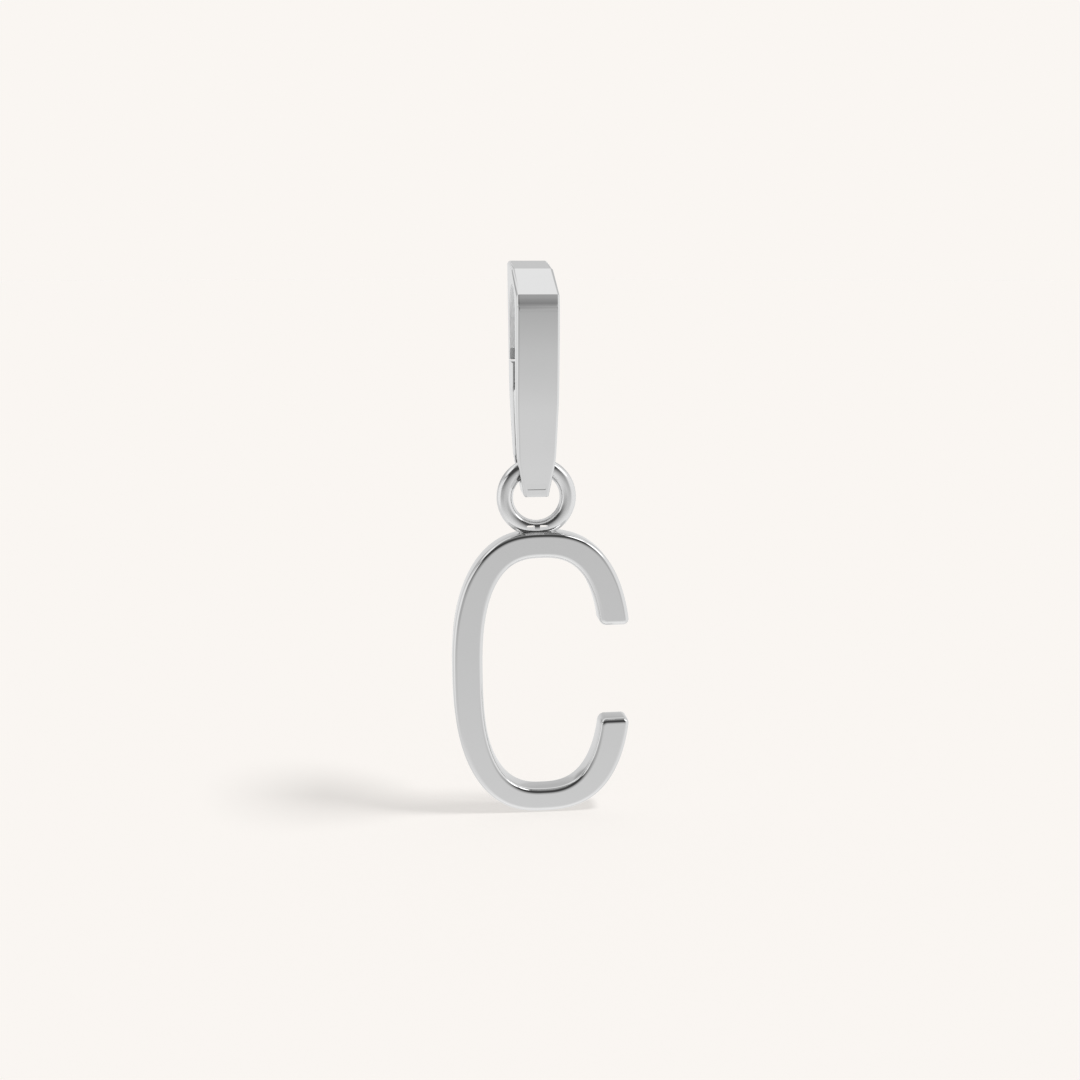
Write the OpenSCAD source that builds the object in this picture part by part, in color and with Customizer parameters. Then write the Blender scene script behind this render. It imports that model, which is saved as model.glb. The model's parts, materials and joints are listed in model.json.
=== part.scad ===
// Initial pendant: a letter C soldered to a round-wire ring, hung in an openable strap bail.
// Millimetres. +Z is up, the letter faces -Y, and the origin is the chain's seat under the bail's crown.

/* [Letter] */
// Width of the letter over its two sides
letter_w = 8.24; // [7:0.01:10]
// Height of the letter
letter_h = 13.22; // [11:0.05:16]
// Thickness of the letter, front to back
letter_t = 1.34; // [0.9:0.01:1.7]
// Width of the letter's stroke at its left and right sides
stroke_side = 1.36; // [1:0.01:1.8]
// Width of the letter's stroke at its top
stroke_top = 1.18; // [0.9:0.01:1.6]
// Width of the letter's stroke at its bottom
stroke_low = 1.08; // [0.9:0.01:1.6]
// Squareness of the outer curve, 2 being an ellipse
outer_square = 2.54; // [2:0.01:3]
// How much squarer the outer curve is at the right, and rounder at the left
outer_skew = 0.24; // [0:0.01:0.4]
// Squareness of the inner curve
inner_square = 2.67; // [2:0.01:3]
// How much squarer the inner curve is at the right, and rounder at the left
inner_skew = 0.09; // [0:0.01:0.4]
// Height of the upper terminal's cut above the letter's middle
mouth_top = 2.19; // [1.6:0.01:3]
// Depth of the lower terminal's cut below the letter's middle
mouth_bottom = 2.26; // [1.4:0.01:3]
// Radius of the rounded edges of the letter
letter_edge = 0.2; // [0.1:0.01:0.3]

/* [Ring] */
// Diameter of the ring's wire
wire_d = 0.74; // [0.5:0.01:0.9]
// Inner diameter of the ring
ring_hole_d = 2.12; // [1.9:0.01:2.8]
// Depth that the ring is sunk into the top of the letter
ring_sink = 0.25; // [0.15:0.01:0.4]
// Sideways distance from the letter's middle to the ring
ring_side = 0.14; // [0:0.01:0.6]
// Angle that the letter leans at on its ring
letter_lean = -0.76; // [-3:0.01:3]
// Height of the two small slots at the foot of the ring
slot_h = 0.2; // [0.1:0.01:0.3]
// Height of the slots' lower edge above the letter
slot_up = 0.1; // [0.01:0.01:0.12]
// Width over both slots
slot_w = 0.96; // [0.6:0.01:1.2]
// Width of the post between the slots
post_w = 0.23; // [0.1:0.01:0.3]

/* [Bail] */
// Width of the strap
bail_w = 1.88; // [1.5:0.01:2.4]
// Width of the strap where its foot starts to narrow
waist_w = 1.7; // [1.4:0.01:2.2]
// Width of the strap at the bottom
foot_w = 1.1; // [1:0.01:1.4]
// Height of the narrowing foot
foot_h = 1.65; // [1:0.05:2.5]
// Height from the strap's bottom to where its sides start to draw in
side_h = 4.3; // [3:0.05:6]
// Depth of the strap's bottom below the chain seat
bail_drop = 9.31; // [8.6:0.01:12]
// Radius of the round chain seat
seat_r = 1.5; // [1.4:0.01:1.8]
// Metal above the chain seat, at the crown's front edge
crown_h = 0.69; // [0.6:0.01:1]
// Rise of the crown's gentle slope to its back corner
crown_rise = 0.33; // [0.1:0.01:0.5]
// Height of the slanted facet in front of the crown
facet_rise = 1.07; // [0.7:0.01:1.3]
// Depth of the slanted facet, front to back
facet_run = 2.61; // [1.8:0.01:2.8]
// Height of the tilted brow under the facet
brow_h = 0.54; // [0.3:0.01:0.8]
// Depth of the brow, front to back
brow_run = 0.07; // [0.03:0.01:0.2]
// Thickness of the front leaf beside the chain seat
front_wall = 1.04; // [0.7:0.01:1.3]
// Thickness of the front leaf at its foot
foot_wall = 0.52; // [0.4:0.01:0.8]
// Depth of the stop inside the front leaf below the chain seat
stop_drop = 4.6; // [4:0.05:5.2]
// How far the stop stands out from the front leaf
stop_out = 0.72; // [0.3:0.01:0.8]
// Height of the stop's rounded top
stop_round = 0.12; // [0.05:0.01:0.2]
// Thickness of the crown's back, beside the chain seat
back_wall = 1.08; // [0.8:0.01:1.3]
// Thickness of the strap under the ring's wire
floor_h = 0.48; // [0.42:0.01:0.7]
// Bevel where the front leaf meets that floor
floor_bevel = 0.12; // [0.05:0.01:0.2]
// Height of the front face's bowed part
bow_h = 4.53; // [3:0.01:5.5]
// Angle that the front face leans back at below its bowed part
face_lean = 8; // [5:0.1:10]
// Angle that the back leans forward at, at the crown
back_lean = 4; // [2:0.1:6]
// Radius of the back's long curve
back_r = 38.9; // [34:0.1:60]

/* [Gate] */
// Depth of the hook's end below the chain seat
hook_drop = 3.42; // [2.9:0.01:3.8]
// Thickness of the hook's end
hook_wall = 0.75; // [0.5:0.01:0.9]
// Height of the recess inside the hook's end
recess_h = 0.52; // [0.3:0.01:0.7]
// Depth of the recess
recess_t = 0.25; // [0.1:0.01:0.35]
// How far the gate stands in over the ring's wire
gate_in = 0.22; // [0.1:0.01:0.3]
// Height of the slope from the gate's foot to that part
gate_slope = 0.45; // [0.3:0.01:0.8]
// Height of the gate's narrowed head
head_h = 1.05; // [0.7:0.01:1.4]
// Depth of the slanted step at the gate's head
head_step = 0.2; // [0.1:0.01:0.3]
// Diameter of the hinge pin
pin_d = 0.3; // [0.25:0.01:0.36]
// Height of the hinge pin above the strap's bottom
pin_up = 0.72; // [0.6:0.01:0.9]
// Radius of the gate's knuckle
knuckle_r = 0.38; // [0.32:0.01:0.42]
// Width of the gate's knuckle
knuckle_w = 0.44; // [0.35:0.01:0.5]
// Radius of the two ears of the strap
ear_r = 0.42; // [0.36:0.01:0.45]
// Height of the gate's lower back edge above the pin
gate_low = 0.58; // [0.55:0.01:0.8]

/* [Clearances] */
// Gap between the hook's end and the gate
gate_gap = 0.05; // [0.03:0.01:0.1]
// Gap from the ring's wire to the front leaf and to the gate
wire_gap = 0.16; // [0.12:0.01:0.3]
// Play from the ring's wire down to the strap's floor
ring_play = 0.43; // [0.1:0.01:0.6]
// Sideways place of the ring in the strap
ring_x = 0.08; // [0:0.01:0.12]
// Gap beside and under the knuckle
knuckle_gap = 0.04; // [0.03:0.01:0.08]
// Gap between the ears and the turning gate
ear_gap = 0.08; // [0.05:0.01:0.12]
// How far the pin's ends stay inside the strap's sides
pin_in = 0.03; // [0.02:0.01:0.05]
// Radial gap of the pin in the ears
pin_fit = 0.01; // [0.01:0.005:0.03]
// Radial gap of the knuckle on the pin
pin_run = 0.02; // [0.02:0.005:0.05]

/* [Mark pad] */
// Width of the blank pad low on the front leaf
pad_w = 0.84; // [0.5:0.01:0.9]
// Height of the pad
pad_h = 0.28; // [0.2:0.01:0.5]
// Depth of the pad
pad_t = 0.05; // [0.02:0.005:0.06]
// Height of the pad's lower edge above the strap's bottom
pad_up = 0.28; // [0.1:0.01:0.4]

/* [Hidden] */

// Number of sections round the letter, and of points on each rounded edge
letter_steps = 84;
edge_steps = 3;
// Points on each long curve of the strap
curve_steps = 10;
// How far a cutter runs past what it cuts
past = 0.5;
// Sides of the round bars and bores
round_sides = 48;

wire_r = wire_d/2;
ring_r = ring_hole_d/2 + wire_r;

// Front of the strap, from the crown down
front_y = -(seat_r + front_wall);
crown_y = seat_r + back_wall;
crease_y = front_y + brow_run;
facet_y = crease_y + facet_run;
crease_z = crown_h - facet_rise;
brow_z = crease_z - brow_h;
bow_r = bow_h/sin(face_lean);
bow_z = brow_z - bow_h;
bow_y = front_y + bow_r*(1 - cos(face_lean));
floor_z = -bail_drop + floor_h;
function face_y(z) = bow_y + (bow_z - z)*tan(face_lean);

// Back of the strap and gate: one long curve from the crown to the foot
crown_z = crown_h + crown_rise;
function back_sine(z) = sin(back_lean) + (crown_z - z)/back_r;
function back_y(z) = crown_y - back_r*(cos(back_lean) - sqrt(1 - back_sine(z)*back_sine(z)));
function back_curve(z0, z1) = [for (i = [0:curve_steps])
    let (z = z0 + (z1 - z0)*i/curve_steps) [back_y(z), z]];
// Points of an arc about (y, z), from angle t0 to t1
function arc(y, z, r, t0, t1) = [for (i = [0:curve_steps])
    let (t = t0 + (t1 - t0)*i/curve_steps) [y + r*cos(t), z + r*sin(t)]];

// The ring stands between the front leaf and the gate
leaf_y = face_y(floor_z) + foot_wall;
wire_z = floor_z + ring_play + wire_d;
ring_y = leaf_y + wire_gap + wire_r;
ring_z = floor_z + ring_play - ring_hole_d/2;
gate_y = ring_y + wire_r + wire_gap;

// Hinge at the foot of the back
relief_r = ear_r + ear_gap;
pin_y = gate_y + relief_r;
pin_z = -bail_drop + pin_up;
pin_w = foot_w + (waist_w - foot_w)*pin_up/foot_h - 2*pin_in;
gate_top = -hook_drop - gate_gap;

// Letter, about the ring's centre before it leans
letter_top = -(ring_r + wire_r - ring_sink);
letter_z = letter_top - letter_h/2;
// A curve is its half width, half height, height of its middle, squareness and skew
outer = [letter_w/2, letter_h/2, 0, outer_square, outer_skew];
inner = [letter_w/2 - stroke_side, (letter_h - stroke_top - stroke_low)/2,
    (stroke_low - stroke_top)/2, inner_square, inner_skew];
function superpoint(a, b, c, n, skew, t) = [
    a*sign(cos(t))*pow(abs(cos(t)), 2/(n + skew*cos(t))),
    c + b*sign(sin(t))*pow(abs(sin(t)), 2/n)];
function end_angle(z, b, n) = asin(pow(z/b, n/2));
// Share of the way from the upper terminal round to the lower one
function curve_point(curve, k) = let (b = curve[1], c = curve[2], n = curve[3])
    superpoint(curve[0], b, c, n, curve[4],
        (1 - k)*end_angle(mouth_top + letter_edge - c, b, n)
        + k*(360 - end_angle(mouth_bottom + letter_edge + c, b, n)));
// A section is the inner and outer point, how far it is drawn in, and how far it is moved along
function section(k, inset, slide) = [
    curve_point(inner, k) + [0, slide],
    curve_point(outer, k) + [0, slide],
    inset];
sections = concat(
    [for (i = [0:edge_steps - 1]) let (t = 90*(1 - i/edge_steps))
        section(0, letter_edge*(1 - cos(t)), -letter_edge*sin(t))],
    [for (i = [0:letter_steps]) section(i/letter_steps, 0, 0)],
    [for (i = [1:edge_steps]) let (t = 90*i/edge_steps)
        section(1, letter_edge*(1 - cos(t)), letter_edge*sin(t))]);
// Rounded rectangle in one section, as points of the solid
function section_ring(s) =
    let (p = s[0], q = s[1], w = norm(q - p), e = (q - p)/w, m = (p + q)/2, r = letter_edge,
         half_w = w/2 - r, half_t = letter_t/2 - r, g = r - s[2])
    [for (c = [0:3]) for (i = [0:edge_steps])
        let (t = 90*c + 90*i/edge_steps,
             u = (c == 0 || c == 3 ? half_w : -half_w) + g*cos(t),
             v = (c < 2 ? half_t : -half_t) + g*sin(t))
        [m[0] + e[0]*u, v, m[1] + e[1]*u]];

// Solid between a row of like rings of points, closed at both ends
module skin(rings) {
    n = len(rings[0]);
    m = len(rings);
    points = [for (r = rings) for (p = r) p];
    sides = [for (j = [0:m - 2]) for (i = [0:n - 1])
        [j*n + i, (j + 1)*n + i, (j + 1)*n + (i + 1) % n, j*n + (i + 1) % n]];
    first = [for (i = [0:n - 1]) i];
    last = [for (i = [0:n - 1]) m*n - 1 - i];
    polyhedron(points = points, faces = concat(sides, [first, last]), convexity = 10);
}

// Profile in the YZ plane, made as wide as the strap can be
module across(width) {
    rotate([90, 0, 90])
        linear_extrude(height = width, center = true)
            children();
}

module round_bar(y, z, r, width) {
    translate([0, y, z])
        rotate([0, 90, 0])
            cylinder(r = r, h = width, center = true, $fn = round_sides);
}

// Front outline of the strap, narrowing to its foot
module strap_outline() {
    side_z = -bail_drop + side_h;
    waist_z = -bail_drop + foot_h;
    half = [[bail_w/2, crown_z + past], [bail_w/2, side_z], [waist_w/2, waist_z], [foot_w/2, -bail_drop]];
    rotate([90, 0, 0])
        linear_extrude(height = 2*(crown_y - front_y), center = true)
            polygon(concat(half, [for (i = [len(half) - 1:-1:0]) [-half[i][0], half[i][1]]]));
}

module bail() {
    end_y = back_y(-hook_drop);
    inner_end = end_y - hook_wall;
    recess_z = -hook_drop + recess_h;
    hook_slope = (seat_r - inner_end)/(hook_drop - seat_r);
    stop_y = -seat_r + stop_out;
    outline = concat(
        [[facet_y, crown_h], [crease_y, crease_z]],
        arc(front_y + bow_r, brow_z, bow_r, 180, 180 + face_lean),
        [[face_y(-bail_drop), -bail_drop], [pin_y - ear_r/2, -bail_drop]],
        arc(pin_y, pin_z, ear_r, -45, 180),
        [[pin_y - ear_r, floor_z], [leaf_y + floor_bevel, floor_z], [leaf_y, floor_z + floor_bevel]],
        [[leaf_y, wire_z], [stop_y, -stop_drop - stop_round],
         [stop_y - stop_round, -stop_drop], [-seat_r, -stop_drop + stop_round]],
        arc(0, -seat_r, seat_r, 180, 0),
        [[inner_end + hook_slope*recess_h, recess_z], [inner_end + recess_t, recess_z],
         [inner_end + recess_t, -hook_drop], [end_y, -hook_drop]],
        back_curve(-hook_drop, crown_z));
    color("gainsboro")
        difference() {
            intersection() {
                across(bail_w) polygon(outline);
                strap_outline();
            }
            round_bar(pin_y, pin_z, knuckle_r + knuckle_gap, knuckle_w + 2*knuckle_gap);
            translate([-knuckle_w/2 - knuckle_gap, pin_y - relief_r, pin_z])
                cube([knuckle_w + 2*knuckle_gap, 2*relief_r, relief_r]);
            round_bar(pin_y, pin_z, pin_d/2 + pin_fit, 2*bail_w);
            translate([-pad_w/2, face_y(-bail_drop + pad_up) - past, -bail_drop + pad_up])
                rotate([face_lean, 0, 0])
                    cube([pad_w, past + pad_t, pad_h]);
        }
}

module gate() {
    head_z = gate_top - head_h;
    inner_y = gate_y - gate_in;
    outline = concat(
        arc(pin_y, pin_z, relief_r, 10, 180),
        [[gate_y, wire_z], [inner_y, wire_z + gate_slope], [inner_y, head_z - head_step],
         [inner_y + head_step, head_z], [inner_y + head_step, gate_top]],
        back_curve(gate_top, pin_z + gate_low));
    color("gainsboro")
        difference() {
            union() {
                intersection() {
                    across(bail_w) polygon(outline);
                    strap_outline();
                }
                round_bar(pin_y, pin_z, knuckle_r, knuckle_w);
                translate([-knuckle_w/2, pin_y - knuckle_r, pin_z])
                    cube([knuckle_w, 2*knuckle_r, relief_r + ear_gap]);
            }
            round_bar(pin_y, pin_z, pin_d/2 + pin_run, 2*bail_w);
        }
}

module hinge_pin() {
    color("silver") round_bar(pin_y, pin_z, pin_d/2, pin_w);
}

module ring() {
    slot_z = letter_top + slot_up;
    difference() {
        rotate([90, 0, 0])
            rotate_extrude($fn = 72)
                translate([ring_r, 0]) circle(r = wire_r, $fn = 32);
        for (side = [-1, 1])
            translate([side*(slot_w + post_w)/4, 0, slot_z + slot_h/2])
                cube([(slot_w - post_w)/2, 2*wire_d, slot_h], center = true);
    }
}

module initial() {
    color("gainsboro")
        translate([ring_x, ring_y, ring_z])
            rotate([0, letter_lean, 0]) {
                ring();
                translate([ring_side, 0, letter_z])
                    skin([for (s = sections) section_ring(s)]);
            }
}

initial();
bail();
gate();
hinge_pin();
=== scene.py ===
"""Initial pendant: a polished letter C on a round-wire ring, hung in an openable strap bail.

The packed model is the frame: its boxes and hinge points place every piece, +Z is up and the letter's front is
towards -Y. Each operator makes one piece, or the stage. The pieces are shaped in millimetres, because bevels go
wrong on sizes near a micrometre, and are brought to metres when they are finished.
"""
import json
import math
from types import SimpleNamespace

import bmesh
import bpy
from bpy.props import FloatProperty, FloatVectorProperty, PointerProperty
from mathutils import Matrix, Vector


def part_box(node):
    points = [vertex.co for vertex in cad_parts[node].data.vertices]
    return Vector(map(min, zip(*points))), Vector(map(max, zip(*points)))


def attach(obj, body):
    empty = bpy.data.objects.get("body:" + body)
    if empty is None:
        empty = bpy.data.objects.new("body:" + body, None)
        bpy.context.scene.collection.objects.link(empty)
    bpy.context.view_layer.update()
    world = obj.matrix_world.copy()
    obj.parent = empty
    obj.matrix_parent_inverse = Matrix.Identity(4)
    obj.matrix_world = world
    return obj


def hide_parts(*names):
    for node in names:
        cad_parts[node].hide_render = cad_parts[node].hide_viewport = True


bl_info = {
    "name": "Initial pendant",
    "version": (1, 0, 0),
    "blender": (4, 5, 0),
    "location": "View3D > Sidebar > Pendant",
    "description": "Polished letter pendant on a ring, in a strap bail with a hinged gate",
    "category": "Add Mesh",
}

MM = 0.001

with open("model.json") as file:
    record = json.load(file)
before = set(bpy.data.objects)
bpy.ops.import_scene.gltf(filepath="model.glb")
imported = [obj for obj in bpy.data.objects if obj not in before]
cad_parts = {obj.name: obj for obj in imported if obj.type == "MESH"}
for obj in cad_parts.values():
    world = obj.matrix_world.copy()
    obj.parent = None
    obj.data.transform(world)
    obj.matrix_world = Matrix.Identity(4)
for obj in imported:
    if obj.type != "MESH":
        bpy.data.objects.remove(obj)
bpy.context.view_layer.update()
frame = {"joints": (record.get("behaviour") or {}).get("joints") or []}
LETTER_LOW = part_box("initial")[0] / MM
BAIL_LOW, BAIL_HIGH = (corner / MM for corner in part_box("bail"))
JOINTS = {joint["name"]: Vector(joint["pos_m"]) / MM for joint in frame["joints"]}
RING_CENTRE = JOINTS["ring_swing"]
PIN_CENTRE = JOINTS["gate_hinge"]

# Angles between two faces, in degrees, past which their edge is one of these
BEND_ANGLE = 6
SHARP_ANGLE = 30
CORNER_ANGLE = 35
SQUARE_ANGLE = 60
# Heights closer than this, in millimetres, are the same
SAME_HEIGHT = 1e-4


def length(name, description, millimetres):
    """A property for a length, kept in metres."""
    return FloatProperty(
        name=name, description=description, default=millimetres * MM, min=0.0, unit="LENGTH", precision=5
    )


def angle(name, description, degrees):
    """A property for an angle."""
    return FloatProperty(name=name, description=description, default=math.radians(degrees), subtype="ANGLE")


class LetterSettings(bpy.types.PropertyGroup):
    """Sizes of the letter"""

    width: length("Width", "Width of the letter over its two sides", 8.24)
    height: length("Height", "Height of the letter", 13.22)
    thickness: length("Thickness", "Thickness of the letter, front to back", 1.34)
    stroke_side: length("Side stroke", "Width of the stroke at the left side", 1.36)
    stroke_top: length("Top stroke", "Width of the stroke at the top", 1.18)
    stroke_low: length("Low stroke", "Width of the stroke at the bottom", 1.08)
    outer_square: FloatProperty(name="Outer curve", description="Squareness, 2 being an ellipse", default=2.54)
    outer_skew: FloatProperty(name="Outer skew", description="How much squarer at the right", default=0.24)
    inner_square: FloatProperty(name="Inner curve", description="Squareness, 2 being an ellipse", default=2.67)
    inner_skew: FloatProperty(name="Inner skew", description="How much squarer at the right", default=0.09)
    mouth_top: length("Upper terminal", "Height of its cut above the letter's middle", 2.19)
    mouth_bottom: length("Lower terminal", "Depth of its cut below the letter's middle", 2.26)
    edge: length("Edge", "Radius of the letter's rounded edges", 0.24)
    corner: length("Corner", "Radius of the terminals' corners, seen from the front", 0.3)
    lean: angle("Lean", "Angle that the letter leans at on its ring", -0.76)
    side: length("Side", "Sideways distance from the letter's middle to the ring", 0.14)


class RingSettings(bpy.types.PropertyGroup):
    """Sizes of the ring"""

    wire: length("Wire", "Diameter of the ring's wire", 0.74)
    hole: length("Hole", "Inner diameter of the ring", 2.12)
    sink: length("Sink", "Depth that the ring is sunk into the letter", 0.25)
    slot_height: length("Slot height", "Height of the two small slots at the ring's foot", 0.2)
    slot_up: length("Slot place", "Height of the slots' lower edge above the letter", 0.1)
    slot_width: length("Slot width", "Width over both slots", 0.96)
    post: length("Post", "Width of the post between the slots", 0.23)
    dullness: FloatProperty(
        name="Dullness", description="Polish that the ring lacks, 1 being a satin surface", subtype="FACTOR",
        default=0.15,
    )


class BailSettings(bpy.types.PropertyGroup):
    """Sizes of the strap, its gate and the hinge pin"""

    waist: length("Waist", "Width of the strap where its foot starts to narrow", 1.7)
    foot: length("Foot", "Width of the strap at the bottom", 1.1)
    foot_height: length("Foot height", "Height of the narrowing foot", 1.65)
    side_height: length("Side height", "Height of the part that draws in, from the bottom", 4.3)
    side_blend: length("Side blend", "How far the sides' bends are spread, up and down", 0.35)
    seat: length("Seat", "Radius of the round chain seat", 1.5)
    crown: length("Crown", "Metal above the chain seat, at the crown's front edge", 0.69)
    facet_rise: length("Facet rise", "Height of the slanted facet", 1.07)
    facet_run: length("Facet run", "Depth of the slanted facet", 2.61)
    brow: length("Brow", "Height of the tilted brow under the facet", 0.54)
    brow_run: length("Brow run", "Depth of the brow, front to back", 0.07)
    brow_hollow: length("Brow hollow", "Depth of the brow's slight hollow", 0.01)
    bow: length("Bow", "Height of the front face's bowed part", 4.53)
    lean: angle("Lean", "Angle that the front face leans back at below its bowed part", 8.0)
    back_lean: angle("Back lean", "Angle that the back leans forward at, at the crown", 4.0)
    back_radius: length("Back radius", "Radius of the back's long curve", 38.9)
    foot_wall: length("Foot wall", "Thickness of the front leaf at its foot", 0.52)
    floor: length("Floor", "Thickness of the strap under the ring's wire", 0.48)
    floor_bevel: length("Floor bevel", "Bevel where the front leaf meets that floor", 0.12)
    stop_drop: length("Stop drop", "Depth of the stop below the chain seat", 4.6)
    stop_out: length("Stop", "How far the stop stands out from the front leaf", 0.72)
    stop_round: length("Stop round", "Height of the stop's rounded top", 0.12)
    hook_drop: length("Hook", "Depth of the hook's end below the chain seat", 3.42)
    hook_wall: length("Hook wall", "Thickness of the hook's end", 0.75)
    recess_height: length("Recess height", "Height of the recess inside the hook's end", 0.52)
    recess: length("Recess", "Depth of the recess", 0.25)
    ear: length("Ear", "Radius of the two ears", 0.42)
    gate_in: length("Gate inset", "How far the gate stands in over the ring's wire", 0.22)
    gate_slope: length("Gate slope", "Height of the slope to that part", 0.45)
    gate_low: length("Gate edge", "Height of the gate's lower back edge above the pin", 0.58)
    head: length("Head", "Height of the gate's narrowed head", 1.05)
    head_step: length("Head step", "Depth of the slanted step at the gate's head", 0.2)
    knuckle: length("Knuckle", "Radius of the gate's knuckle", 0.38)
    knuckle_width: length("Knuckle width", "Width of the gate's knuckle", 0.44)
    pin: length("Pin", "Diameter of the hinge pin", 0.3)
    wire_gap: length("Wire gap", "Gap from the ring's wire to the front leaf and to the gate", 0.16)
    ring_play: length("Ring play", "Play from the ring's wire down to the strap's floor", 0.43)
    gate_gap: length("Gate gap", "Gap between the hook's end and the gate", 0.05)
    knuckle_gap: length("Knuckle gap", "Gap beside and under the knuckle", 0.04)
    ear_gap: length("Ear gap", "Gap between the ears and the turning gate", 0.08)
    pin_in: length("Pin ends", "How far the pin's ends stay inside the strap's sides", 0.03)
    pin_fit: length("Pin fit", "Radial gap round the pin", 0.01)
    pad_width: length("Pad width", "Width of the blank pad low on the front leaf", 0.84)
    pad_height: length("Pad height", "Height of the pad", 0.28)
    pad_depth: length("Pad depth", "Depth of the pad", 0.05)
    pad_up: length("Pad place", "Height of the pad's lower edge above the strap's bottom", 0.28)
    outer_edge: length("Outer edge", "Radius of the strap's outer edges", 0.15)
    inner_edge: length("Inner edge", "Radius of the strap's inner edges", 0.06)
    bend_edge: length("Bend edge", "Radius of the edges between the strap's flats", 0.012)


class FinishSettings(bpy.types.PropertyGroup):
    """Colour and polish of the metal"""

    metal: FloatVectorProperty(
        name="Metal", description="Colour of the metal", subtype="COLOR", default=(0.71, 0.71, 0.71)
    )
    polish: FloatProperty(
        name="Polish", description="Roughness of the best polished places", subtype="FACTOR", default=0.05
    )
    handling: FloatProperty(
        name="Handling", description="Roughness that wear adds in places", subtype="FACTOR", default=0.05
    )
    inside: FloatProperty(
        name="Inside", description="Roughness that the strap's inner faces keep", subtype="FACTOR", default=0.7
    )
    frosted: FloatVectorProperty(
        name="Frosted", description="Colour of the metal where it isn't polished", subtype="COLOR",
        default=(0.95, 0.95, 0.95),
    )
    # Painted shade: a darker copy of the metal colour, laid on the recess and the gap where they would lie in shade
    narrow: FloatVectorProperty(
        name="Narrow", description="Painted shade: a darker metal colour in the recess and the gap", subtype="COLOR",
        default=(0.43, 0.43, 0.43),
    )
    marks: FloatProperty(
        name="Marks", description="Strength of the faint buffing marks", subtype="FACTOR", default=0.05
    )
    mark_depth: length("Mark depth", "Depth of the buffing marks", 0.002)


class StageSettings(bpy.types.PropertyGroup):
    """Floor, light and camera"""

    floor: FloatVectorProperty(
        name="Floor", description="Colour of the floor", subtype="COLOR", default=(0.568, 0.548, 0.528)
    )
    floor_radius: length("Floor radius", "Radius of the round floor", 1500)
    floor_roughness: FloatProperty(
        name="Floor roughness", description="Roughness of the floor", subtype="FACTOR", default=0.9
    )
    floor_glow: FloatProperty(name="Floor glow", description="Light that comes up through the floor", default=0.87)
    backdrop: FloatVectorProperty(
        name="Backdrop", description="Colour behind the floor", subtype="COLOR", default=(0.956, 0.922, 0.888)
    )
    fill: FloatProperty(name="Fill light", description="Strength of the light from all round", default=0.44)
    key: FloatProperty(name="Key light", description="Strength of the key light", default=1.3)
    key_turn: angle("Key turn", "How far to the right of the front the key light stands", 79)
    key_height: angle("Key height", "How high the key light stands", 64)
    key_size: angle("Key size", "Angle that the key light fills", 12)
    aim: FloatVectorProperty(
        name="Aim", description="Point that the camera looks at", subtype="XYZ", unit="LENGTH", precision=5,
        default=(0.25 * MM, RING_CENTRE.y * MM, -11.45 * MM),
    )
    distance: length("Distance", "From the camera to that point", 68.18)
    turn: angle("Turn", "How far the camera stands to the left of the front", 5.8)
    pitch: angle("Pitch", "How far the camera looks down", 10.8)
    lens: FloatProperty(name="Lens", description="Focal length", unit="CAMERA", default=50.0)


def in_millimetres(settings):
    """The settings' numbers, with the lengths in millimetres."""
    values = SimpleNamespace()
    for prop in settings.bl_rna.properties:
        if prop.type == "FLOAT":
            value = getattr(settings, prop.identifier)
            setattr(values, prop.identifier, value / MM if prop.unit == "LENGTH" else value)
    return values


def new_object(bm, name):
    """An object in the scene from a bmesh, closed and with its faces pointing outwards."""
    bmesh.ops.remove_doubles(bm, verts=bm.verts, dist=1e-6)
    bmesh.ops.recalc_face_normals(bm, faces=bm.faces)
    mesh = bpy.data.meshes.new(name)
    bm.to_mesh(mesh)
    bm.free()
    made = bpy.data.objects.new(name, mesh)
    bpy.context.scene.collection.objects.link(made)
    return made


def settle(piece):
    """Makes what the modifiers give the piece's own mesh."""
    depsgraph = bpy.context.evaluated_depsgraph_get()
    before = piece.data
    piece.data = bpy.data.meshes.new_from_object(piece.evaluated_get(depsgraph))
    piece.modifiers.clear()
    bpy.data.meshes.remove(before)


def join(piece, other, operation):
    """Cuts the other object out of the piece, or adds it, for good."""
    modifier = piece.modifiers.new(operation, "BOOLEAN")
    modifier.operation = operation
    modifier.solver = "EXACT"
    modifier.object = other
    settle(piece)
    bpy.data.objects.remove(other)


def mark_inside(piece, middle_y, low_z, open_z, high_z):
    """Marks the faces that look inwards at a line up the middle. Those of the opening, which the polishing wheel
    doesn't reach, are marked unpolished; those of the recess and the slim gap are marked for painted shade.

    The opening's faces reach above open_z. The faces of the recess and the slim gap don't.
    """
    side_on, facing, margin = 0.5, 0.4, 0.01
    inside, narrow = (piece.data.attributes.new(name, "FLOAT", "FACE") for name in ("inside", "narrow"))
    for face in piece.data.polygons:
        _, y, z = face.center
        inwards = Vector((0, middle_y - y, min(max(z, low_z), high_z) - z))
        turned_in = abs(face.normal.x) < side_on and face.normal.dot(inwards) > facing * inwards.length
        in_opening = max(piece.data.vertices[index].co.z for index in face.vertices) > open_z + margin
        inside.data[face.index].value = float(turned_in and in_opening)
        # Painted shade: the faces turned in below the opening, in the recess and the gap
        narrow.data[face.index].value = float(turned_in and not in_opening)


def finish(piece, body, node, slot):
    """Brings the piece to metres, shades it smooth up to its sharp edges and ties it to the frame."""
    mesh = piece.data
    mesh.transform(Matrix.Scale(MM, 4))
    mesh.shade_smooth()
    mesh.set_sharp_from_angle(angle=math.radians(SHARP_ANGLE))
    flats = piece.modifiers.new("even_flats", "WEIGHTED_NORMAL")
    flats.keep_sharp = True
    mesh.materials.clear()
    mesh.materials.append(polished_metal(slot))
    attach(piece, body)
    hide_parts(node)


def arc(centre, radius, start, stop, steps=20):
    """Points along an arc, between two angles in degrees."""
    turns = [math.radians(start + (stop - start) * i / steps) for i in range(steps + 1)]
    return [(centre[0] + radius * math.cos(t), centre[1] + radius * math.sin(t)) for t in turns]


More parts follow.
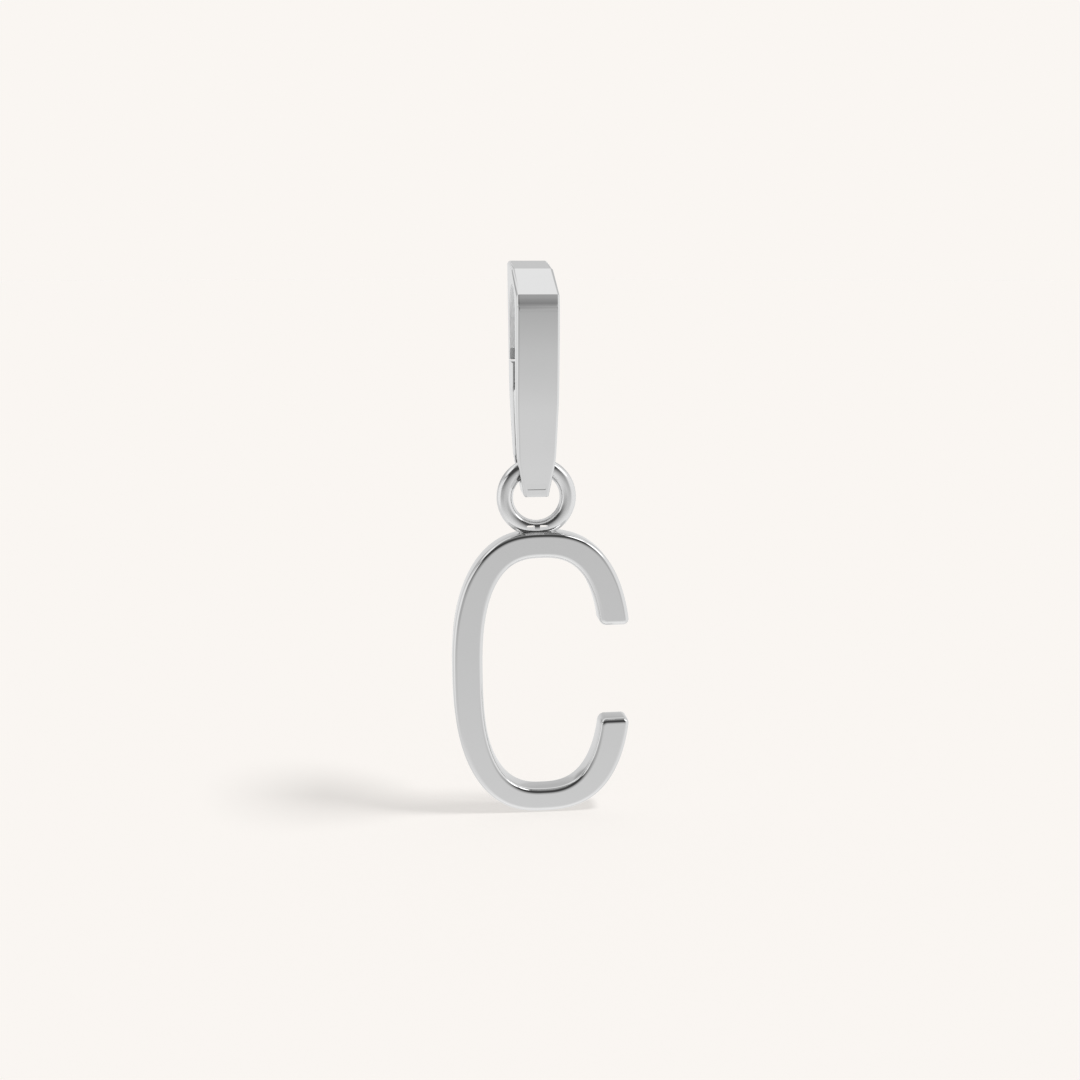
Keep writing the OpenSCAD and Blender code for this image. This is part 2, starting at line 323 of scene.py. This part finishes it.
def solid(bm, face, vector):
    """Extrudes a face into a closed solid."""
    made = bmesh.ops.extrude_face_region(bm, geom=[face])
    bmesh.ops.translate(
        bm, verts=[part for part in made["geom"] if isinstance(part, bmesh.types.BMVert)], vec=vector
    )
    bmesh.ops.recalc_face_normals(bm, faces=bm.faces)


def bevel(bm, edges, radius, segments):
    """Rounds edges."""
    bmesh.ops.bevel(
        bm, geom=edges, offset=radius, segments=segments, profile=0.5, affect="EDGES", material=-1
    )


def edges_past(bm, degrees):
    """The edges whose faces meet at more than an angle."""
    return [edge for edge in bm.edges if edge.calc_face_angle() > math.radians(degrees)]


def round_bar(name, centre, radius, width, end_edge=0.0):
    """A round bar along X, with its ends' edges rounded."""
    bm = bmesh.new()
    bmesh.ops.create_cone(
        bm, cap_ends=True, segments=64, radius1=radius, radius2=radius, depth=width,
        matrix=Matrix.Translation(centre) @ Matrix.Rotation(math.pi / 2, 4, "Y"),
    )
    if end_edge:
        bevel(bm, edges_past(bm, SQUARE_ANGLE), end_edge, segments=4)
    return new_object(bm, name)


def block(name, low, high, edge, turn=0.0):
    """A block between two corners, turned about X at its low corner, with its edges along Y rounded."""
    low, high = Vector(low), Vector(high)
    bm = bmesh.new()
    bmesh.ops.create_cube(
        bm, size=1, matrix=Matrix.Translation((high - low) / 2) @ Matrix.Diagonal((*(high - low), 1))
    )
    along = [
        line for line in bm.edges
        if abs((line.verts[0].co - line.verts[1].co).normalized().y) > 0.9
    ]
    bevel(bm, along, edge, segments=4)
    bmesh.ops.transform(
        bm, matrix=Matrix.Translation(low) @ Matrix.Rotation(turn, 4, "X"), verts=bm.verts
    )
    return new_object(bm, name)


def keyhole(name, radius, half_depth, height, width):
    """A round bar about the hinge pin, in one with a block above it."""
    outline = arc(PIN_CENTRE.yz, radius, 180, 360, steps=32)
    low, high = PIN_CENTRE.z, PIN_CENTRE.z + height
    near, far = PIN_CENTRE.y - half_depth, PIN_CENTRE.y + half_depth
    if half_depth > radius:
        outline = [(near, low), *outline, (far, low)]
    bm = bmesh.new()
    side = [bm.verts.new((-width / 2, y, z)) for y, z in outline + [(far, high), (near, high)]]
    solid(bm, bm.faces.new(side), (width, 0, 0))
    return new_object(bm, name)


def letter_outline(letter, steps=220):
    """The letter's outline: its outer curve from terminal to terminal, and back along its inner curve."""

    def curve(half_width, half_height, middle, square, skew):
        """Points on a rounded curve, kept clear of the terminals' rounded corners."""

        def turn_at(height):
            return math.asin((height / half_height) ** (square / 2))

        clear = 1.5 * letter.corner
        top, low = letter.mouth_top - middle, letter.mouth_bottom + middle
        first = turn_at(top + clear)
        last = math.tau - turn_at(low + clear)
        turns = [first + (last - first) * i / steps for i in range(steps + 1)]
        points = []
        for turn in [turn_at(top), *turns, math.tau - turn_at(low)]:
            across, up = math.cos(turn), math.sin(turn)
            points.append((
                half_width * math.copysign(abs(across) ** (2 / (square + skew * across)), across),
                middle + half_height * math.copysign(abs(up) ** (2 / square), up),
            ))
        return points

    half_width, half_height = letter.width / 2, letter.height / 2
    inner_height = half_height - (letter.stroke_top + letter.stroke_low) / 2
    middle = (letter.stroke_low - letter.stroke_top) / 2
    outer = curve(half_width, half_height, 0, letter.outer_square, letter.outer_skew)
    inner = curve(half_width - letter.stroke_side, inner_height, middle, letter.inner_square, letter.inner_skew)
    return outer + inner[::-1]


def on_ring(letter):
    """From the ring's own middle to its place in the strap, leaning as the letter hangs."""
    return Matrix.Translation(RING_CENTRE) @ Matrix.Rotation(letter.lean, 4, "Y")


class PENDANT_OT_letter(bpy.types.Operator):
    """Make the letter"""

    bl_idname = "pendant.letter"
    bl_label = "Letter"

    def execute(self, context):
        letter = in_millimetres(context.scene.pendant_letter)
        ring = in_millimetres(context.scene.pendant_ring)
        bm = bmesh.new()
        front = [bm.verts.new((x, -letter.thickness / 2, z)) for x, z in letter_outline(letter)]
        solid(bm, bm.faces.new(front), (0, letter.thickness, 0))
        corners = [
            edge for edge in edges_past(bm, CORNER_ANGLE)
            if abs(edge.verts[0].co.y - edge.verts[1].co.y) > letter.edge
        ]
        bevel(bm, corners, letter.corner, segments=10)
        bevel(bm, edges_past(bm, SQUARE_ANGLE), letter.edge, segments=8)
        drop = ring.hole / 2 + ring.wire - ring.sink + letter.height / 2
        place = on_ring(letter) @ Matrix.Translation((letter.side, 0, -drop))
        bmesh.ops.transform(bm, matrix=place, verts=bm.verts)
        finish(new_object(bm, "letter"), "initial", "initial", "letter_silver")
        return {"FINISHED"}


class PENDANT_OT_ring(bpy.types.Operator):
    """Make the ring, with the two small slots at its foot"""

    bl_idname = "pendant.ring"
    bl_label = "Ring"

    def execute(self, context):
        letter = in_millimetres(context.scene.pendant_letter)
        ring = in_millimetres(context.scene.pendant_ring)
        middle = (ring.hole + ring.wire) / 2
        bm = bmesh.new()
        section = bmesh.ops.create_circle(
            bm, cap_ends=False, segments=48, radius=ring.wire / 2, matrix=Matrix.Translation((middle, 0, 0))
        )
        bmesh.ops.spin(
            bm, geom=section["verts"] + bm.edges[:], cent=(0, 0, 0), axis=(0, 1, 0), angle=math.tau,
            steps=160, use_merge=True,
        )
        piece = new_object(bm, "ring")
        low = ring.sink + ring.slot_up - ring.hole / 2 - ring.wire
        near, far = ring.post / 2, ring.slot_width / 2
        for left, right in ((-far, -near), (near, far)):
            slot = block(
                "slot", (left, -ring.wire, low), (right, ring.wire, low + ring.slot_height),
                edge=ring.slot_height / 4,
            )
            join(piece, slot, "DIFFERENCE")
        piece.data.transform(on_ring(letter))
        inside = piece.data.attributes.new("inside", "FLOAT", "FACE")
        inside.data.foreach_set("value", [ring.dullness] * len(piece.data.polygons))
        finish(piece, "initial", "initial", "letter_silver")
        return {"FINISHED"}


def strap_places(bail, ring):
    """Places on the strap in the YZ plane that more than one outline uses."""
    at = SimpleNamespace()
    at.front, at.back, at.top, at.bottom = BAIL_LOW.y, BAIL_HIGH.y, BAIL_HIGH.z, BAIL_LOW.z
    at.facet_y = at.front + bail.brow_run + bail.facet_run
    at.brow_z = bail.crown - bail.facet_rise - bail.brow
    at.bow_z = at.brow_z - bail.bow
    at.bow_radius = bail.bow / math.sin(bail.lean)
    at.floor_z = at.bottom + bail.floor
    at.wire_z = at.floor_z + bail.ring_play + ring.wire
    at.gate_y = RING_CENTRE.y + ring.wire / 2 + bail.wire_gap
    at.gate_top = -bail.hook_drop - bail.gate_gap
    at.relief = bail.ear + bail.ear_gap
    return at


def face_y(bail, at, z):
    """Depth of the front face at a height below its bow."""
    bow_y = at.front + at.bow_radius * (1 - math.cos(bail.lean))
    return bow_y + (at.bow_z - z) * math.tan(bail.lean)


def back_curve(bail, at, start, stop, steps=28):
    """Points on the back's long curve between two heights."""
    points = []
    for i in range(steps + 1):
        z = start + (stop - start) * i / steps
        sine = math.sin(bail.back_lean) + (at.top - z) / bail.back_radius
        points.append((at.back - bail.back_radius * (math.cos(bail.back_lean) - math.sqrt(1 - sine * sine)), z))
    return points


def half_width(bail, at, z):
    """Half the strap's width at a height, with its bends spread a little."""

    def plain(height):
        up = height - at.bottom
        if up >= bail.side_height:
            return BAIL_HIGH.x
        if up >= bail.foot_height:
            share = (up - bail.foot_height) / (bail.side_height - bail.foot_height)
            return bail.waist / 2 + share * (BAIL_HIGH.x - bail.waist / 2)
        return (bail.foot + (bail.waist - bail.foot) * up / bail.foot_height) / 2

    reach = 6
    around = [plain(z + bail.side_blend * i / reach) for i in range(-reach, reach + 1)]
    return sum(around) / len(around)


def strap_part(name, bail, at, rows, seam_z):
    """A part of the strap between its two sides.

    Each row is a radius and points of the side outline. The radius is for the side edges that leave its points. Edges
    at the seam's height stay crisp, because the seam is a clean cut, and so does the edge above the brow.
    """
    bm = bmesh.new()
    weight = bm.edges.layers.float.new("bevel_weight_edge")
    radii = [radius for radius, points in rows for _ in points]
    outline = [bm.verts.new((-BAIL_HIGH.x, *point)) for _, points in rows for point in points]
    side = bm.faces.new(outline)
    for loop, radius in zip(side.loops, radii):
        loop.edge[weight] = radius / bail.outer_edge
    solid(bm, side, (2 * BAIL_HIGH.x, 0, 0))
    for edge in edges_past(bm, BEND_ANGLE):
        first, second = (vert.co for vert in edge.verts)
        crisp = any(
            max(abs(first.z - z), abs(second.z - z)) < SAME_HEIGHT for z in (seam_z, at.brow_z + bail.brow)
        )
        if abs(first.x - second.x) > bail.foot and not crisp:
            edge[weight] = bail.bend_edge / bail.outer_edge
    part = new_object(bm, name)
    rounded = part.modifiers.new("rounded_edges", "BEVEL")
    rounded.limit_method = "WEIGHT"
    rounded.width = bail.outer_edge
    rounded.segments = 6
    rounded.use_clamp_overlap = False
    settle(part)
    bm = bmesh.new()
    bm.from_mesh(part.data)
    cuts = 30
    for i in range(1, cuts + 1):
        height = at.bottom + (bail.side_height + bail.side_blend) * i / cuts
        bmesh.ops.bisect_plane(
            bm, geom=bm.verts[:] + bm.edges[:] + bm.faces[:], dist=1e-5,
            plane_co=(0, 0, height), plane_no=(0, 0, 1),
        )
    for vert in bm.verts:
        drawn_in = BAIL_HIGH.x - half_width(bail, at, vert.co.z)
        vert.co.x -= math.copysign(drawn_in, vert.co.x)
    bm.to_mesh(part.data)
    bm.free()
    return part


class PENDANT_OT_strap(bpy.types.Operator):
    """Make the strap: hook, crown, front leaf and ears in one"""

    bl_idname = "pendant.strap"
    bl_label = "Strap"

    def execute(self, context):
        bail = in_millimetres(context.scene.pendant_bail)
        ring = in_millimetres(context.scene.pendant_ring)
        at = strap_places(bail, ring)
        hook_z = -bail.hook_drop
        brow = []
        # Near the brow's two ends there are no points, because the side edges' radius needs the room
        for down in (0, 0.3, 0.4, 0.5, 0.6, 0.7, 1):
            hollow = 4 * bail.brow_hollow * down * (1 - down)
            brow.append((at.front + bail.brow_run * (1 - down) + hollow, at.brow_z + bail.brow * (1 - down)))
        outer = (
            back_curve(bail, at, hook_z, at.top, steps=12)
            + [(at.facet_y, bail.crown)]
            + brow
            + arc((at.front + at.bow_radius, at.brow_z), at.bow_radius, 180, 180 + math.degrees(bail.lean))[1:]
            + [(face_y(bail, at, at.bottom), at.bottom)]
        )
        leaf_y = face_y(bail, at, at.floor_z) + bail.foot_wall
        stop_y = bail.stop_out - bail.seat
        inner_y = outer[0][0] - bail.hook_wall
        slope = (bail.seat - inner_y) / (bail.hook_drop - bail.seat) * bail.recess_height
        inner = (
            [(PIN_CENTRE.y - bail.ear / 2, at.bottom)]
            + arc(PIN_CENTRE.yz, bail.ear, -45, 180)
            + [(PIN_CENTRE.y - bail.ear, at.floor_z), (leaf_y + bail.floor_bevel, at.floor_z)]
            + [(leaf_y, at.floor_z + bail.floor_bevel), (leaf_y, at.wire_z)]
            + [(stop_y, -bail.stop_drop - bail.stop_round), (stop_y - bail.stop_round, -bail.stop_drop)]
            + [(-bail.seat, -bail.stop_drop + bail.stop_round)]
            + arc((0, -bail.seat), bail.seat, 180, 0, steps=40)
            + [(inner_y + slope, hook_z + bail.recess_height)]
            + [(inner_y + bail.recess, hook_z + bail.recess_height)]
        )
        rows = (
            (bail.outer_edge, outer[:-1]), (bail.inner_edge, outer[-1:] + inner),
            (0, [(inner_y + bail.recess, hook_z)]),
        )
        piece = strap_part("strap", bail, at, rows, hook_z)
        slot_width = bail.knuckle_width + 2 * bail.knuckle_gap
        slot = keyhole("slot", bail.knuckle + bail.knuckle_gap, at.relief, at.relief, slot_width)
        join(piece, slot, "DIFFERENCE")
        join(piece, round_bar("bore", PIN_CENTRE, bail.pin / 2 + bail.pin_fit, 2 * BAIL_HIGH.x), "DIFFERENCE")
        low = Vector((-bail.pad_width / 2, 0, at.bottom + bail.pad_up))
        low.y = face_y(bail, at, low.z) - bail.pad_height
        high = low + Vector((bail.pad_width, bail.pad_height + bail.pad_depth, bail.pad_height))
        join(piece, block("pad", low, high, turn=bail.lean, edge=bail.pad_depth), "DIFFERENCE")
        mark_inside(piece, (leaf_y + at.gate_y) / 2, at.wire_z, hook_z + bail.recess_height, -bail.seat)
        finish(piece, "hook", "bail", "bail_silver")
        return {"FINISHED"}


class PENDANT_OT_gate(bpy.types.Operator):
    """Make the gate, with its knuckle"""

    bl_idname = "pendant.gate"
    bl_label = "Gate"

    def execute(self, context):
        bail = in_millimetres(context.scene.pendant_bail)
        at = strap_places(bail, in_millimetres(context.scene.pendant_ring))
        inner_y = at.gate_y - bail.gate_in
        head_z = at.gate_top - bail.head
        outer = back_curve(bail, at, at.gate_top, PIN_CENTRE.z + bail.gate_low)
        inner = (
            arc(PIN_CENTRE.yz, at.relief, 10, 180)
            + [(at.gate_y, at.wire_z), (inner_y, at.wire_z + bail.gate_slope)]
            + [(inner_y, head_z - bail.head_step), (inner_y + bail.head_step, head_z)]
        )
        rows = (
            (bail.outer_edge, outer[:-1]), (0, outer[-1:]), (bail.inner_edge, inner),
            (0, [(inner_y + bail.head_step, at.gate_top)]),
        )
        piece = strap_part("gate_leaf", bail, at, rows, at.gate_top)
        neck_height = at.relief + bail.ear_gap
        join(piece, keyhole("knuckle", bail.knuckle, bail.knuckle, neck_height, bail.knuckle_width), "UNION")
        join(piece, round_bar("bore", PIN_CENTRE, bail.pin / 2 + 2 * bail.pin_fit, 2 * BAIL_HIGH.x), "DIFFERENCE")
        mark_inside(piece, RING_CENTRE.y, at.wire_z, at.gate_top, -bail.seat)
        finish(piece, "gate", "gate", "bail_silver")
        return {"FINISHED"}


class PENDANT_OT_pin(bpy.types.Operator):
    """Make the hinge pin"""

    bl_idname = "pendant.pin"
    bl_label = "Hinge pin"

    def execute(self, context):
        bail = in_millimetres(context.scene.pendant_bail)
        low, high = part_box("hinge_pin")
        width = (high.x - low.x) / MM
        piece = round_bar("pin", PIN_CENTRE, bail.pin / 2, width, end_edge=bail.pin / 8)
        finish(piece, "hook", "hinge_pin", "pin_silver")
        return {"FINISHED"}


def feed(tree, value, socket):
    """Gives a node's input a number, or what another node puts out."""
    if isinstance(value, bpy.types.NodeSocket):
        tree.links.new(value, socket)
    else:
        socket.default_value = value


def maths(tree, operation, *values):
    """A Math node on sockets or numbers."""
    node = tree.nodes.new("ShaderNodeMath")
    node.operation = operation
    for socket, value in zip(node.inputs, values):
        feed(tree, value, socket)
    return node.outputs[0]


def blend(tree, amount, first, second, colour=False):
    """A number or a colour between two, by a share."""
    node = tree.nodes.new("ShaderNodeMix")
    node.data_type = "RGBA" if colour else "FLOAT"
    for index, value in zip((0, 6, 7) if colour else (0, 2, 3), (amount, first, second)):
        feed(tree, value, node.inputs[index])
    return node.outputs[2 if colour else 0]


def remap(tree, value, low, high):
    """The value's share of the way from low to high, eased at both ends."""
    node = tree.nodes.new("ShaderNodeMapRange")
    node.interpolation_type = "SMOOTHSTEP"
    tree.links.new(value, node.inputs["Value"])
    node.inputs["From Min"].default_value = low
    node.inputs["From Max"].default_value = high
    return node.outputs["Result"]


def surface_attribute(group, name):
    """A number that the piece's faces carry, 0 on a piece without it."""
    node = group.nodes.new("ShaderNodeAttribute")
    node.attribute_name = name
    return node.outputs["Fac"]


def noise(group, place, scale, detail):
    """Noise over the surface."""
    node = group.nodes.new("ShaderNodeTexNoise")
    node.inputs["Detail"].default_value = detail
    group.links.new(place, node.inputs["Vector"])
    group.links.new(scale, node.inputs["Scale"])
    return node.outputs["Fac"]


def polish_group():
    """Node group for the metal's polish: how rough it is from place to place, and its faint buffing marks."""
    group = bpy.data.node_groups.get("polish")
    if group:
        return group
    group = bpy.data.node_groups.new("polish", "ShaderNodeTree")
    for name, value in (("Scale", 1000.0), ("Roughness", 0.05), ("Wear", 0.05), ("Inside", 0.7)):
        socket = group.interface.new_socket(name, in_out="INPUT", socket_type="NodeSocketFloat")
        socket.default_value = value
    for name in ("Roughness", "Height", "Frosted", "Narrow"):
        group.interface.new_socket(name, in_out="OUTPUT", socket_type="NodeSocketFloat")
    given = group.nodes.new("NodeGroupInput").outputs
    result = group.nodes.new("NodeGroupOutput").inputs
    place = group.nodes.new("ShaderNodeTexCoord").outputs["Object"]
    inside = surface_attribute(group, "inside")
    worn_from, worn_full = 0.45, 0.7
    worn = remap(group, noise(group, place, given["Scale"], detail=4), worn_from, worn_full)
    rough = maths(group, "MULTIPLY_ADD", worn, given["Wear"], given["Roughness"])
    rough = maths(group, "MULTIPLY_ADD", inside, given["Inside"], rough)
    group.links.new(rough, result["Roughness"])
    group.links.new(inside, result["Frosted"])
    # The mask of the painted shade in the recess and the gap passes straight through
    group.links.new(surface_attribute(group, "narrow"), result["Narrow"])
    # The buffing marks are finer than the wear, and drawn out sideways
    finer = 6
    stretch = group.nodes.new("ShaderNodeMapping")
    stretch.inputs["Scale"].default_value = (1, 1, finer)
    group.links.new(place, stretch.inputs["Vector"])
    marks = noise(group, stretch.outputs["Vector"], maths(group, "MULTIPLY", given["Scale"], finer), detail=2)
    group.links.new(marks, result["Height"])
    return group


# What each slot's unpolished places, and its places with painted shade, take their colour from: an output of the
# polish group, and a finish setting
UNPOLISHED_AND_SHADED = {
    "letter_silver": (("Frosted", "frosted"),),
    "bail_silver": (("Frosted", "frosted"), ("Narrow", "narrow")),
    "pin_silver": (),
}


def polished_metal(slot):
    """The polished metal for one of the record's material slots."""
    material = bpy.data.materials.get(slot + "_polished")
    if material:
        return material
    finish_of = bpy.context.scene.pendant_finish
    material = bpy.data.materials.new(slot + "_polished")
    material.use_nodes = True
    tree = material.node_tree
    shader = tree.nodes["Principled BSDF"]
    shader.inputs["Metallic"].default_value = 1
    polish = tree.nodes.new("ShaderNodeGroup")
    polish.node_tree = polish_group()
    polish.inputs["Roughness"].default_value = finish_of.polish
    polish.inputs["Wear"].default_value = finish_of.handling
    polish.inputs["Inside"].default_value = finish_of.inside
    tree.links.new(polish.outputs["Roughness"], shader.inputs["Roughness"])
    colour = (*finish_of.metal, 1)
    # Lays the frosted colour on the unpolished faces, and the painted shade on the recess and the gap
    for output, setting in UNPOLISHED_AND_SHADED[slot]:
        colour = blend(tree, polish.outputs[output], colour, (*getattr(finish_of, setting), 1), colour=True)
    feed(tree, colour, shader.inputs["Base Color"])
    bump = tree.nodes.new("ShaderNodeBump")
    bump.inputs["Strength"].default_value = finish_of.marks
    bump.inputs["Distance"].default_value = finish_of.mark_depth
    tree.links.new(polish.outputs["Height"], bump.inputs["Height"])
    tree.links.new(bump.outputs["Normal"], shader.inputs["Normal"])
    return material


# Brightness of the surroundings in front and behind, each at a height in degrees
FRONT_LIGHT = (
    (-90, 1.1), (-60, 1.12), (-40, 1.0), (-28, 0.9), (-21, 0.83), (-15, 0.755), (-10.6, 0.717), (-4, 0.6), (-1, 0.54),
    (4, 0.57), (10, 0.41), (17, 0.3), (22, 0.18), (30, 0.06), (50, 0.06), (65, 0.15), (80, 0.33), (90, 0.42),
)
BACK_LIGHT = (
    (-90, 1.1), (-40, 0.9), (-10, 0.84), (4, 0.8), (11, 0.78), (15, 0.66), (18, 0.66), (22, 0.6), (30, 0.64),
    (34, 0.86), (43, 1.06), (52, 1.0), (62, 0.46), (90, 0.42),
)
# How far away one looks where the front's light starts to give way, and where only the light behind is left
BEHIND = (-0.25, 0.2)
# The front's light hangs lower by this many degrees at the left
LEFT_DROP = 6
# How far across one looks where that starts and where it is full: from the front, and from the left wall
LEFT_SPAN = ((-0.15, -0.4), (-0.92, -0.75))
# Walls at the right and left: how far across one looks where each starts and where it is full, brightness
SIDE_LIGHTS = ((0.58, 0.88, 1.0), (-0.85, -0.97, 1.06))
# Softboxes and a dark card that the metal mirrors: towards x, y and z, angle from the middle to the edge, brightness
CARDS = (
    ((-0.74, 0.0, 0.65), 13, 1.3), ((-0.87, -0.36, 0.37), 11, 1.1), ((0.5, -0.2, 0.85), 13, 2.3),
    ((0.77, -0.24, 0.58), 14, 2.3), ((-0.52, 0.83, 0.21), 14, 0.45),
)
# Share of a card's size that has its full brightness
CARD_CORE = 0.6


def light_ramp(tree, elevation, stops):
    """Brightness of the surroundings by how high one looks."""
    node = tree.nodes.new("ShaderNodeValToRGB")
    ramp = node.color_ramp
    # A stop holds a share of this brightness, because its colour goes up to 1. A new ramp has two stops
    brightest = 2
    for index, (degrees, value) in enumerate(stops):
        place = degrees / 180 + 0.5
        element = ramp.elements[index] if index < 2 else ramp.elements.new(place)
        element.position = place
        element.color = (*[value / brightest] * 3, 1)
    tree.links.new(elevation, node.inputs["Fac"])
    return maths(tree, "MULTIPLY", node.outputs["Color"], brightest)


def background(tree, colour, strength):
    """Light of one colour from all round, of a strength that may change with where one looks."""
    node = tree.nodes.new("ShaderNodeBackground")
    node.inputs["Color"].default_value = (*colour, 1)
    feed(tree, strength, node.inputs["Strength"])
    return node.outputs[0]


def by_ray(tree, is_ray, light, other_light):
    """One light for the rays of a kind, and another light for all others."""
    node = tree.nodes.new("ShaderNodeMixShader")
    for socket, value in zip(node.inputs, (is_ray, other_light, light)):
        tree.links.new(value, socket)
    return node.outputs[0]


def surroundings(stage):
    """The studio's light: what the metal mirrors, what lights the floor and what the camera sees behind it."""
    world = bpy.data.worlds.new("studio")
    bpy.context.scene.world = world
    world.use_nodes = True
    tree = world.node_tree
    tree.nodes.clear()
    direction = tree.nodes.new("ShaderNodeTexCoord").outputs["Generated"]
    axes = tree.nodes.new("ShaderNodeSeparateXYZ")
    tree.links.new(direction, axes.inputs[0])
    across, away, up = axes.outputs
    elevation = maths(tree, "MULTIPLY_ADD", maths(tree, "ARCSINE", up), 1 / math.pi, 0.5)
    behind = remap(tree, away, *BEHIND)
    left = maths(tree, "MULTIPLY", *[remap(tree, across, *span) for span in LEFT_SPAN])
    front_height = maths(tree, "MULTIPLY_ADD", left, LEFT_DROP / 180, elevation)
    around = blend(tree, behind, light_ramp(tree, front_height, FRONT_LIGHT), light_ramp(tree, elevation, BACK_LIGHT))
    for start, full, brightness in SIDE_LIGHTS:
        around = blend(tree, remap(tree, across, start, full), around, brightness)
    for towards, size, brightness in CARDS:
        facing = tree.nodes.new("ShaderNodeVectorMath")
        facing.operation = "DOT_PRODUCT"
        tree.links.new(direction, facing.inputs[0])
        facing.inputs[1].default_value = Vector(towards).normalized()
        edge, core = (math.cos(math.radians(size * share)) for share in (1, CARD_CORE))
        around = blend(tree, remap(tree, facing.outputs["Value"], edge, core), around, brightness)
    white = (1, 1, 1)
    rays = tree.nodes.new("ShaderNodeLightPath").outputs
    unseen = by_ray(
        tree, rays["Is Glossy Ray"], background(tree, white, around), background(tree, white, stage.fill)
    )
    everything = by_ray(tree, rays["Is Camera Ray"], background(tree, stage.backdrop, 1), unseen)
    tree.links.new(everything, tree.nodes.new("ShaderNodeOutputWorld").inputs[0])


class PENDANT_OT_stage(bpy.types.Operator):
    """Make the floor, the light and the camera"""

    bl_idname = "pendant.stage"
    bl_label = "Stage"

    def execute(self, context):
        stage = context.scene.pendant_stage
        bm = bmesh.new()
        bmesh.ops.create_circle(
            bm, cap_ends=True, segments=96, radius=stage.floor_radius / MM,
            matrix=Matrix.Translation((0, 0, LETTER_LOW.z)),
        )
        floor = new_object(bm, "floor")
        floor.data.transform(Matrix.Scale(MM, 4))
        paper = bpy.data.materials.new("floor_paper")
        paper.use_nodes = True
        shader = paper.node_tree.nodes["Principled BSDF"]
        shader.inputs["Base Color"].default_value = (*stage.floor, 1)
        shader.inputs["Emission Color"].default_value = (*stage.floor, 1)
        shader.inputs["Emission Strength"].default_value = stage.floor_glow
        shader.inputs["Roughness"].default_value = stage.floor_roughness
        shader.inputs["Specular IOR Level"].default_value = 0
        floor.data.materials.append(paper)
        floor.visible_glossy = False
        surroundings(stage)
        key = bpy.data.objects.new("key", bpy.data.lights.new("key", "SUN"))
        key.data.energy = stage.key
        key.data.angle = stage.key_size
        key.visible_glossy = False
        context.scene.collection.objects.link(key)
        turn, height = stage.key_turn, stage.key_height
        towards = Vector((
            math.sin(turn) * math.cos(height), -math.cos(turn) * math.cos(height), math.sin(height)
        ))
        key.rotation_euler = (-towards).to_track_quat("-Z", "Y").to_euler()
        view = Vector((
            math.sin(stage.turn) * math.cos(stage.pitch), math.cos(stage.turn) * math.cos(stage.pitch),
            -math.sin(stage.pitch),
        ))
        camera = bpy.data.objects.new("camera", bpy.data.cameras.new("camera"))
        camera.data.lens = stage.lens
        camera.data.clip_start = MM
        camera.location = Vector(stage.aim) - view * stage.distance
        camera.rotation_euler = view.to_track_quat("-Z", "Y").to_euler()
        context.scene.collection.objects.link(camera)
        context.scene.camera = camera
        context.scene.view_settings.view_transform = "Standard"
        return {"FINISHED"}


OPERATORS = (
    PENDANT_OT_stage, PENDANT_OT_letter, PENDANT_OT_ring, PENDANT_OT_strap, PENDANT_OT_gate, PENDANT_OT_pin,
)
SETTINGS = {
    "pendant_letter": LetterSettings,
    "pendant_ring": RingSettings,
    "pendant_bail": BailSettings,
    "pendant_finish": FinishSettings,
    "pendant_stage": StageSettings,
}


class PENDANT_PT_sidebar(bpy.types.Panel):
    """Sizes and pieces of the pendant"""

    bl_idname = "PENDANT_PT_sidebar"
    bl_label = "Initial pendant"
    bl_space_type = "VIEW_3D"
    bl_region_type = "UI"
    bl_category = "Pendant"

    def draw(self, context):
        for name, kind in SETTINGS.items():
            box = self.layout.box()
            box.label(text=kind.__doc__)
            for prop in kind.__annotations__:
                box.prop(getattr(context.scene, name), prop)
        for operator in OPERATORS:
            self.layout.operator(operator.bl_idname)


def register():
    for kind in (*SETTINGS.values(), *OPERATORS, PENDANT_PT_sidebar):
        bpy.utils.register_class(kind)
    for name, kind in SETTINGS.items():
        setattr(bpy.types.Scene, name, PointerProperty(type=kind))


def unregister():
    for name in SETTINGS:
        delattr(bpy.types.Scene, name)
    for kind in (PENDANT_PT_sidebar, *OPERATORS[::-1], *list(SETTINGS.values())[::-1]):
        bpy.utils.unregister_class(kind)


def main():
    register()
    bpy.ops.pendant.stage()
    bpy.ops.pendant.letter()
    bpy.ops.pendant.ring()
    bpy.ops.pendant.strap()
    bpy.ops.pendant.gate()
    bpy.ops.pendant.pin()


if __name__ == "__main__":
    main()
